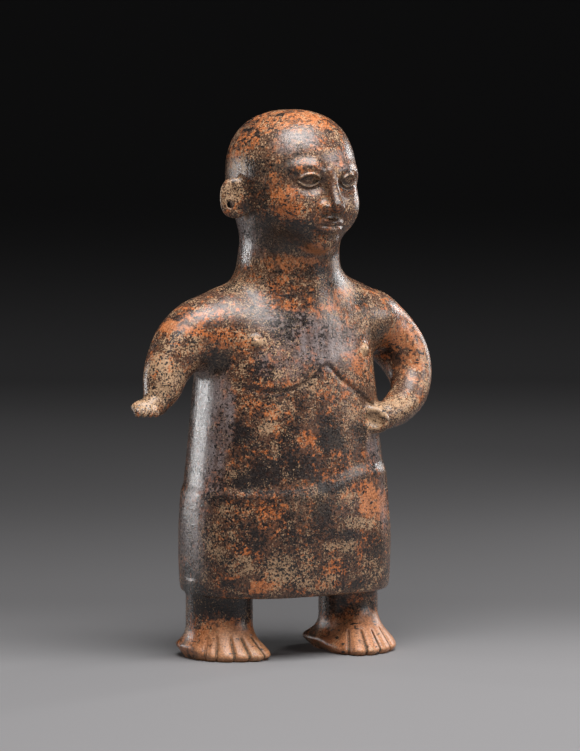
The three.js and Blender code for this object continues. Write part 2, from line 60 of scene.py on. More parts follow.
# Driving dimensions of the figure, in millimetres
HEIGHT = 380
CHIN = 281
HEAD_WIDTH = 84
HEAD_AXIS = (0, -8)
HEAD_TURN = math.radians(6)
NECK_RADIUS = 35
HEM = 44
WAIST = {"right": 117, "left": 130.5, "from": -15, "to": 42}
COLUMN = {"power": 2.6, "lean": 1.2, "lean_top": 190, "hem_edge": 3.5, "top": 246, "top_edge": 24}
SKIRT = {"step": 1.8, "edge": 4.5}
BREAST = {
    "step": 1.7, "edge": 1.6, "top": 240, "fade": 40, "front": (5, 25), "side": (-62, -46),
    "line": 0.55, "line_width": 1.7,
}
FILLET = {
    "shoulders": 20, "neck": 14, "nipple": 3, "head": 10, "jaw": 14, "ear": 4, "ankle": 7, "leg": 2,
    "right_arm": 12, "right_palm": 4, "right_finger": 1,
    "left_arm": 8, "left_arm_back": 10, "left_palm": 5, "left_fingers": 2.5, "left_hand": 5,
}
ROOM = ((-136, -72, -6), (122, 62, HEIGHT + 6))

# Bounds of what each form can reach, on an axis or as a distance. Beyond them it is not worked out.
CHEST = {"from": 180, "nipples_to": 235, "front": -20}
ARMS = {"from": 20, "right_from": 150, "left_from": 140, "right_hand": -100, "left_hand": (-20, 190)}
FACE_FRONT = -20
EAR_ROOM = {"out": 20, "height": 30}
HEAD_NEAR = 24
HEAD_FROM = CHIN - 30
LEGS_TO = HEM + 12
TOES_NEAR = 12
LIMB_NEAR = 30

# Heights in the face, by the usual halves and thirds of a head
EYE_LINE = (HEIGHT + CHIN) / 2
BROW = EYE_LINE + 6
NOSE_BASE = (BROW + CHIN) / 2
MOUTH = NOSE_BASE - (NOSE_BASE - CHIN) / 3
EYE_WIDTH = HEAD_WIDTH / 5


# Forms: each takes points as three rows and gives their distances to a surface, negative inside it

TINY = 1e-6


def lerp(a, b, t):
    return a + (b - a) * t


def smoothstep(value, low, high):
    t = np.clip((value - low) / (high - low), 0, 1)
    return t * t * (3 - 2 * t)


def turned(a, b, angle):
    """Two coordinates, read along axes that are turned by an angle"""
    c, s = math.cos(angle), math.sin(angle)
    return a * c + b * s, b * c - a * s


def profile(stations):
    """A smooth curve of value against place, through stations in order of place"""
    place, value = np.array(stations, float).T
    number = np.arange(len(place))
    before, after = np.maximum(number - 1, 0), np.minimum(number + 1, len(place) - 1)
    slope = (value[after] - value[before]) / (place[after] - place[before])

    def at(p):
        k = np.clip(np.searchsorted(place, p, side="right"), 1, len(place) - 1)
        gap = place[k] - place[k - 1]
        t = np.clip((p - place[k - 1]) / gap, 0, 1)
        tangents = gap * t * (1 - t) * (slope[k - 1] * (1 - t) - slope[k] * t)
        return lerp(value[k - 1], value[k], smoothstep(t, 0, 1)) + tangents

    return at


def ellipsoid(centre, radii, power=2.0):
    """An ellipsoid by its middle and radii. A power above 2 squares it off."""
    centre = np.array(centre, float)[:, None]
    radii = np.array(radii, float)[:, None]

    def distance(p):
        q = np.abs(p - centre) / radii
        raised = q if power == 2 else q ** (power - 1)
        near = np.maximum((q * raised).sum(0) ** (1 / power), TINY)
        slope = np.sqrt(((raised / radii) ** 2).sum(0)) / near ** (power - 1)
        return (near - 1) / np.maximum(slope, TINY)

    return distance


# The nearest place along a limb is looked for at some trial places in each span, and then by Newton's method,
# whose steps are held back where the curve bends towards the point
TRIALS = 5
NEWTON_STEPS = 3
LEAST_STEEPNESS = 0.3


def limb(stations):
    """A rounded bar along a smooth curve through stations of place and radius"""
    knots = np.array(stations, float)
    places, radii = knots[:, :3], knots[:, 3]
    radius = profile(list(enumerate(radii)))
    ends = np.vstack([2 * places[0] - places[1], places, 2 * places[-1] - places[-2]])
    gaps = np.linalg.norm(np.diff(ends, axis=0), axis=1)[:, None] ** 0.5
    g0, g1, g2 = gaps[:-2], gaps[1:-1], gaps[2:]
    p0, p1, p2, p3 = ends[:-3], ends[1:-2], ends[2:-1], ends[3:]
    leave = g1 * ((p1 - p0) / g0 - (p2 - p0) / (g0 + g1) + (p2 - p1) / g1)
    arrive = g1 * ((p2 - p1) / g1 - (p3 - p1) / (g1 + g2) + (p3 - p2) / g2)
    cubic = np.stack([p1, leave, 3 * (p2 - p1) - 2 * leave - arrive, 2 * (p1 - p2) + leave + arrive])
    spans = len(knots) - 1

    def along(t, order=0):
        k = np.minimum(t.astype(int), spans - 1)
        u = (t - k)[:, None]
        a, b, c, d = cubic[0][k], cubic[1][k], cubic[2][k], cubic[3][k]
        if order == 0:
            return (a + u * (b + u * (c + u * d))).T
        if order == 1:
            return (b + u * (2 * c + 3 * u * d)).T
        return (2 * c + 6 * u * d).T

    trial = np.linspace(0, spans, spans * TRIALS + 1)
    track = along(trial)
    low, high = track.min(1)[:, None], track.max(1)[:, None]
    reach = radii.max() + LIMB_NEAR

    def distance(p):
        away = np.maximum(low - p, p - high).max(0)
        close = away < reach
        q = p[:, close]
        if not q.size:
            return away
        nearest = np.full(q.shape[1], np.inf)
        t = np.zeros(q.shape[1])
        for number, place in zip(trial, track.T):
            gap = ((q - place[:, None]) ** 2).sum(0)
            better = gap < nearest
            nearest[better] = gap[better]
            t[better] = number
        for _ in range(NEWTON_STEPS):
            offset, slope, bend = along(t) - q, along(t, 1), along(t, 2)
            steep = np.maximum((slope**2 + offset * bend).sum(0), LEAST_STEEPNESS * (slope**2).sum(0))
            t = np.clip(t - (offset * slope).sum(0) / steep, 0, spans)
        away[close] = np.sqrt(((along(t) - q) ** 2).sum(0)) - radius(t)
        return away

    return distance


def join(a, b, width):
    """Joins two distances with a fillet of about the given width"""
    h = np.maximum(width - np.abs(a - b), 0) / width
    return np.minimum(a, b) - h * h * width / 4


def cut(a, b, width):
    """Cuts the second distance from the first, with a rounded edge"""
    return -join(-a, b, width)


def joined(shapes, width):
    """One form from several, joined in their order with fillets of the given width"""

    def distance(p):
        d = shapes[0](p)
        for shape in shapes[1:]:
            d = join(d, shape(p), width)
        return d

    return distance


def add_where(d, p, where, shape, width):
    """Joins a shape to the distances of the chosen points, in place"""
    d[where] = join(d[where], shape(p[:, where]), width)


# The body from the hem to the shoulders, a column with an oblong section
body_width = profile([
    (HEM, 72.5), (55, 73.5), (84, 74), (116, 72.5), (134, 70.5), (190, 64), (222, 60), (240, 55), (256, 44),
])
body_depth = profile([
    (HEM, 50), (55, 51.5), (84, 52), (116, 49.5), (134, 48), (190, 44), (215, 41.5), (235, 36), (256, 20),
])

# Height of the lower edge of the breasts against x: two arcs that meet in a peak near the midline
breast_edge = profile([
    (-60, 192), (-34, 187.5), (-18, 189), (-4, 195.5), (9, 204.5), (20, 194.5), (36, 184.5), (60, 168),
])


def waist_height(x):
    return lerp(WAIST["right"], WAIST["left"], smoothstep(x, WAIST["from"], WAIST["to"]))


def column(p):
    x, y, z = p
    a, b = body_width(z), body_depth(z)
    across = x + COLUMN["lean"] * smoothstep(z, WAIST["left"], COLUMN["lean_top"])
    power = COLUMN["power"]
    near = np.maximum((np.abs(across / a) ** power + np.abs(y / b) ** power) ** (1 / power), TINY)
    out = np.sqrt(across**2 + y**2)
    skirt = SKIRT["step"] * smoothstep(waist_height(x) - z, -SKIRT["edge"], SKIRT["edge"])
    above = z - breast_edge(x)
    front = smoothstep(-y, *BREAST["front"]) * smoothstep(x, *BREAST["side"])
    breasts = BREAST["step"] * smoothstep(BREAST["top"] - z, 0, BREAST["fade"])
    breasts = breasts * smoothstep(above, -BREAST["edge"], BREAST["edge"])
    line = BREAST["line"] * np.exp(-(((above + BREAST["edge"]) / BREAST["line_width"]) ** 2))
    side = out - out / near - skirt - front * (breasts - line)
    return cut(cut(side, z - HEM, COLUMN["hem_edge"]), COLUMN["top"] - z, COLUMN["top_edge"])


shoulders = limb([
    (-62, 0, 227, 20.5), (-34, 1, 236.5, 23.5), (0, 1, 240, 27), (34, 0, 242, 24.5), (66, -3, 233.5, 20.5),
])
neck = limb([
    (3, 1, 238, NECK_RADIUS + 5), (2.5, -1, 264, NECK_RADIUS + 2),
    (2, -3, 284, NECK_RADIUS), (0, -5, 312, NECK_RADIUS - 2),
])
nipples = [ellipsoid((-42.5, -34, 220), (4, 4.4, 4)), ellipsoid((44, -33, 213), (3.8, 4.4, 3.8))]


def torso(p):
    d = column(p)
    high = p[2] >= CHEST["from"]
    add_where(d, p, high, shoulders, FILLET["shoulders"])
    add_where(d, p, high, neck, FILLET["neck"])
    chest = high & (p[1] < CHEST["front"]) & (p[2] < CHEST["nipples_to"])
    for nipple in nipples:
        add_where(d, p, chest, nipple, FILLET["nipple"])
    return d


# The head, about its own upright axis: points are rows of distance to a side, distance back, and height
skull = ellipsoid((0, 0, HEIGHT - 45), (HEAD_WIDTH / 2, 47, 45), 2.3)
jaw = ellipsoid((0, -11, CHIN + 26), (34, 36, 26))
chin = ellipsoid((0, -38, CHIN + 8), (11, 8, 8))
cheek = ellipsoid((17, -32, 313), (13, 12, 13))
socket = ellipsoid((EYE_WIDTH, -50, EYE_LINE - 1), (10.5, 6.5, 7.5))
brow = limb([
    (3, -46, BROW - 1.5, 3), (13, -44.5, BROW + 2, 3.4), (24, -38, BROW + 1, 2.8), (34, -27, BROW - 6, 1),
])
nose = limb([(0, -47, BROW, 3), (0, -51, EYE_LINE - 8, 4.3), (0, -54.5, NOSE_BASE + 4.5, 5.6)])
nose_wing = ellipsoid((6, -49.5, NOSE_BASE + 3), (3.4, 5, 3.8))
nostril = ellipsoid((3.6, -53, NOSE_BASE - 1.5), (1.6, 2.6, 2.4))
upper_lip = limb([
    (-6, -47, MOUTH + 2.4, 2.2), (0, -48.4, MOUTH + 1.9, 2.4),
    (6, -47, MOUTH + 2.4, 2.2), (12.5, -43, MOUTH + 0.3, 1),
])
lower_lip = limb([
    (-6, -46.4, MOUTH - 2.2, 2.5), (0, -47.4, MOUTH - 2.6, 2.9),
    (6, -46.4, MOUTH - 2.2, 2.5), (12, -43, MOUTH - 0.2, 1),
])
EYE = {"half": 4.2, "lid": 2, "lid_width": 1.1, "ball": 1.4, "ball_edge": 2, "ball_bend": 0.03, "corner": 1.5}

# What makes the face, in this order, and how wide its edges and fillets are
FACE = (
    (join, cheek, 12),
    (join, chin, 8),
    (cut, socket, 5),
    (join, brow, 7),
    (join, joined([nose, nose_wing], 2.5), 4),
    (cut, nostril, 1),
    (join, joined([upper_lip, lower_lip], 0.8), 3),
)


def eye_relief(u, v):
    """Height of the modelled lids and eyeball over the face, across and up from the middle of an eye"""
    half = np.maximum(EYE["half"] * (1 - (u / (EYE_WIDTH / 2)) ** 2), 0)
    lid = np.exp(-(((np.abs(v) - half) / EYE["lid_width"]) ** 2))
    ball = EYE["ball"] - EYE["ball_bend"] * (u**2 + v**2)
    ball = smoothstep(half - np.abs(v), 0, EYE["ball_edge"]) * ball
    return np.minimum(half / EYE["corner"], 1) * np.maximum(EYE["lid"] * lid, ball)


def with_face(d, q):
    side, _, z = q
    for change, shape, width in FACE:
        d = change(d, shape(q), width)
    return d - eye_relief(side - EYE_WIDTH, z - EYE_LINE)


# An ear, as a flap that opens forwards from the side of the head, with a pierced lobe
EAR = {"out": 46, "back": 2, "height": 318.5, "flare": math.radians(40), "hollow_edge": 2, "hole_edge": 1.2}
flap = ellipsoid((0, 0, 0), (10.5, 3.8, 14), 2.4)
hollow = ellipsoid((0.5, -5.2, 3), (4.5, 3, 7))
pierced = limb([(2.5, -6, -4.5, 2.6), (2.5, 0, -4.5, 2.3), (2.5, 6, -4.5, 2.6)])


def with_ear(d, q):
    out, back, z = q
    across, through = turned(out - EAR["out"], back - EAR["back"], EAR["flare"])
    local = np.stack([across, through, z - EAR["height"]])
    d = join(d, cut(flap(local), hollow(local), EAR["hollow_edge"]), FILLET["ear"])
    return cut(d, pierced(local), EAR["hole_edge"])


def head(p):
    side, back = turned(p[0] - HEAD_AXIS[0], p[1] - HEAD_AXIS[1], HEAD_TURN)
    q = np.stack([np.abs(side), back, p[2]])
    d = join(skull(q), jaw(q), FILLET["jaw"])
    face = (back < FACE_FRONT) & (d < HEAD_NEAR)
    d[face] = with_face(d[face], q[:, face])
    sides = (q[0] > EAR_ROOM["out"]) & (np.abs(q[2] - EAR["height"]) < EAR_ROOM["height"]) & (d < HEAD_NEAR)
    d[sides] = with_ear(d[sides], q[:, sides])
    return d


# The right arm hangs away from the side and ends in a mitten with the fingers turned down
right_arm = limb([
    (-50, 0, 230, 22), (-77.5, -1, 222.5, 20.5), (-94, -4, 203, 16.5),
    (-102, -8, 187, 13.2), (-107.5, -11, 179, 9),
])
right_palm = ellipsoid((-117.5, -13, 176.8), (9.5, 7, 5.3))
right_fingers = [
    limb([(x, -15, 177, 2.6), (x - 0.5, -19.5, 175, 2.6), (x - 0.5, -21, 172.5, 2.3)])
    for x in (-126, -121.4, -116.8, -112.2)
]
right_mitten = joined([right_arm, right_palm], FILLET["right_palm"])
right_hand = joined([right_mitten, *right_fingers], FILLET["right_finger"])

# The left arm curves round like a handle. Its upper part is broad from front to back, and its hand rests on
# the waist, with the fingers rolled into an oval ring round a shallow hollow.
left_arm_front = limb([
    (50, 0, 232, 19), (77.5, -1, 232, 16.3), (95, -6, 213.5, 15), (98.8, -10, 196, 14.3),
    (92, -17, 180.5, 13.3), (77, -26, 170, 11.5), (63, -34, 166, 9.5),
])
left_arm_back = limb([(52, 6, 230, 18), (76, 8, 222, 14.5), (90, 5, 208, 12.5), (96, -2, 198, 12)])
left_arm = joined([left_arm_front, left_arm_back], FILLET["left_arm_back"])
FIST = {
    "place": (50.5, -39, 164), "turn": math.radians(-40), "tilt": math.radians(-30),
    "ring": 6, "finger": 3, "oval": 1.2, "forward": 1, "hollow_edge": 1.5,
}
left_palm = ellipsoid((53, -35.5, 164), (9, 8, 8.5))
fist_hollow = ellipsoid((0, -5.4, 0), (6.6, 3.2, 5.2))


def fist_ring(q):
    """The rolled fingers, as one ring that is wider than it is high"""
    across, through, up = q
    out = np.sqrt((across / FIST["oval"]) ** 2 + up**2) - FIST["ring"]
    return np.sqrt(out**2 + (through + FIST["forward"]) ** 2) - FIST["finger"]


def with_left_hand(d, arm, p):
    x, y, z = p - np.array(FIST["place"])[:, None]
    across, through = turned(x, y, FIST["turn"])
    across, up = turned(across, z, FIST["tilt"])
    q = np.stack([across, through, up])
    hand = join(join(arm, left_palm(p), FILLET["left_palm"]), fist_ring(q), FILLET["left_fingers"])
    return cut(join(d, hand, FILLET["left_hand"]), fist_hollow(q), FIST["hollow_edge"])


def add_arms(d, p):
    """Joins both arms to the distances, in place"""
    x, y, z = p
    right = (x < -ARMS["from"]) & (z > ARMS["right_from"])
    add_where(d, p, right & (x > ARMS["right_hand"]), right_arm, FILLET["right_arm"])
    add_where(d, p, right & (x <= ARMS["right_hand"]), right_hand, FILLET["right_arm"])
    left = (x > ARMS["from"]) & (z > ARMS["left_from"])
    arm = left_arm(p[:, left])
    front, top = ARMS["left_hand"]
    waist = (y[left] <= front) & (z[left] <= top)
    blended = join(d[left], arm, FILLET["left_arm"])
    blended[waist] = with_left_hand(d[left][waist], arm[waist], p[:, left][:, waist])
    d[left] = blended


# Legs and feet. Each foot slopes down from the ankle to a rounded rim, low at the toes and higher elsewhere,
# and is tucked in under it. The toes are parted by cut lines that fan out from the ankle at the given angles,
# from the inner side to the outer.
FEET = (
    {"side": -1, "x": 52, "y": 1, "radius": 23.5, "width": 28, "front": 39, "back": 31,
     "lines": (-21, -5, 11, 32, 48)},
    {"side": 1, "x": 48.5, "y": -6, "radius": 21, "width": 29.5, "front": 46, "back": 34,
     "lines": (-30, -15, 0, 17)},
)
INSTEP = {"skew": 0.35, "power": 2.6, "forward": (0.2, 0.9), "tuck_bend": 1.5, "rim_edge": 2.5}
SIDE_RIM = {"height": 8.5, "tuck": 9, "slope": 22}
TOE_RIM = {"height": 4, "tuck": 3.5, "slope": 40}
TOE_LINE = {"depth": 1.9, "width": 0.9, "fade": 4, "swell": 0.9, "spread": 3.2, "swell_fade": 12, "top": 18}
INTO_SKIRT = 10
FLOOR_SPARE = 3


def toe_lines(foot, out, ahead, z):
    """Depth of the lines between the toes, each a narrow cut in a shallow valley"""
    angle, away = np.arctan2(out, ahead), np.sqrt(out**2 + ahead**2)
    gap = np.min([np.abs(angle - math.radians(line)) for line in foot["lines"]], axis=0) * away
    below = TOE_LINE["top"] - z
    line = TOE_LINE["depth"] * np.exp(-((gap / TOE_LINE["width"]) ** 2))
    line = line * smoothstep(below, 0, TOE_LINE["fade"])
    valley = TOE_LINE["swell"] * np.exp(-((gap / TOE_LINE["spread"]) ** 2))
    return line + valley * smoothstep(below, 0, TOE_LINE["swell_fade"])


def leg(foot, p):
    x, y, z = p
    out = foot["side"] * x - foot["x"]
    ahead = foot["y"] - y
    away = np.maximum(np.sqrt(out**2 + ahead**2), 1)
    shaft = np.maximum(away - foot["radius"], z - HEM - INTO_SKIRT)
    reach = np.where(ahead > 0, foot["front"] - INSTEP["skew"] * out, foot["back"])
    power = INSTEP["power"]
    plan = (np.abs(out / foot["width"]) ** power + np.abs(ahead / reach) ** power) ** (1 / power)
    outline = away / np.maximum(plan, TINY)
    forward = smoothstep(ahead / away, *INSTEP["forward"])
    rim, tuck, rise = (lerp(SIDE_RIM[name], TOE_RIM[name], forward) for name in ("height", "tuck", "slope"))
    side = away - outline + tuck * np.clip((rim - z) / rim, 0, 1) ** INSTEP["tuck_bend"]
    run = outline / rise
    slope = (away - outline + (z - rim) * run) / np.sqrt(1 + run**2)
    foot_shape = cut(slope, -side, INSTEP["rim_edge"])
    toes = (ahead > 0) & (np.abs(foot_shape) < TOES_NEAR)
    foot_shape[toes] += toe_lines(foot, out[toes], ahead[toes], z[toes])
    return join(shaft, foot_shape, FILLET["ankle"])


def figure(p):
    """Distance to the whole woman"""
    d = torso(p)
    add_where(d, p, p[2] > HEAD_FROM, head, FILLET["head"])
    add_arms(d, p)
    for foot in FEET:
        add_where(d, p, p[2] < LEGS_TO, lambda q, foot=foot: leg(foot, q), FILLET["leg"])
    return np.maximum(d, -FLOOR_SPARE - p[2])


# From distances to a mesh

# A block of the grid is this many points wide. It is worked out finely if the surface is within its reach, a
# share of its width and some millimetres to spare. So many points are worked out at once.
BLOCK = 4
BLOCK_REACH = 0.95
BLOCK_SPARE = 2
POINTS_AT_ONCE = 250_000

# The mesh is pulled onto the surface this many times, more gently where the distance hardly changes
PULLS = 2
PULL_SOFTENING = 0.1

# The unevenness that hands and a polishing stone leave: the size of its lumps with how much each size counts,
# and the heights over the floor between which it sets in
DENTS = ((40, 1), (17, 0.4), (7, 0.12))
DENTS_FROM = (3, 12)

# How a zone's border wavers: the strength and size of the lumps. Then the shares of the zone's radii at which
# it starts and is full, and the first zone's seed.
RAGGED = ((0.22, 16), (0.12, 6))
ZONE_EDGE = (1.15, 0.45)
FIRST_ZONE_SEED = 50

# How far from the surface its hollows and ridges are felt for
CREASE_REACHES = (1.2, 3)
RIDGE_REACH = 1.5


def sampled(step):
    """Distances on a grid, worked out finely only in the blocks near the surface"""
    low, high = np.array(ROOM, float)
    blocks = np.ceil((high - low) / (BLOCK * step)).astype(int)
    middles = np.indices(blocks).reshape(3, -1) * BLOCK + (BLOCK - 1) / 2
    coarse = figure(low[:, None] + middles * step)
    values = np.repeat(coarse.reshape(blocks), BLOCK, 0)
    values = np.repeat(np.repeat(values, BLOCK, 1), BLOCK, 2).astype(np.float32)
    near = np.abs(coarse) < BLOCK_REACH * BLOCK * step + BLOCK_SPARE
    within = np.indices((BLOCK,) * 3).reshape(3, 1, -1)
    fine = (middles[:, near, None] - (BLOCK - 1) / 2 + within).reshape(3, -1).astype(int)
    for part in np.array_split(np.arange(fine.shape[1]), max(1, fine.shape[1] // POINTS_AT_ONCE)):
        i, j, k = fine[:, part]
        values[i, j, k] = figure(low[:, None] + fine[:, part] * step)
    return low, values


def slope_at(p, step=0.05):
    """Distance and its gradient"""
    d = figure(p)
    moves = np.eye(3)[:, :, None] * step
    return d, np.stack([(figure(p + move) - d) / step for move in moves])


def surface(step):
    """Points and quads of the figure's surface, in millimetres"""
    low, values = sampled(step)
    grid = openvdb.FloatGrid(background=float(4 * step))
    grid.copyFromArray(values)
    points, _, quads = grid.convertToPolygons(0.0, 0.0)
    p = low[:, None] + points.T.astype(float) * step
    for _ in range(PULLS):
        d, g = slope_at(p)
        p = p + g * np.clip(-d / ((g**2).sum(0) + PULL_SOFTENING), -step / 2, step / 2)
    return p, quads


def soft_noise(p, cell, seed):
    """Smooth noise between -1 and 1, with lumps of about the given size"""
    low, high = np.array(ROOM, float)
    random = np.random.default_rng(seed).uniform(-1, 1, np.ceil((high - low) / cell).astype(int) + 3)
    q = (p - low[:, None]) / cell
    k = np.clip(q.astype(int), 0, np.array(random.shape)[:, None] - 2)
    t = smoothstep(q - k, 0, 1)
    total = 0
    for corner in np.ndindex(2, 2, 2):
        weight = np.prod([t[a] if corner[a] else 1 - t[a] for a in range(3)], axis=0)
        total = total + weight * random[k[0] + corner[0], k[1] + corner[1], k[2] + corner[2]]
    return total


def hand_worked(p, sizes):
    """Moves the surface in and out a little, as hands and a polishing stone leave it"""
    _, g = slope_at(p)
    n = g / np.linalg.norm(g, axis=0)
    lumps = sum(share * soft_noise(p, cell, seed) for seed, (cell, share) in enumerate(DENTS, 1))
    p = p + n * (sizes.dent_depth / MM * lumps) * smoothstep(p[2], *DENTS_FROM)
    p[2] = np.maximum(p[2], 0)
    return p


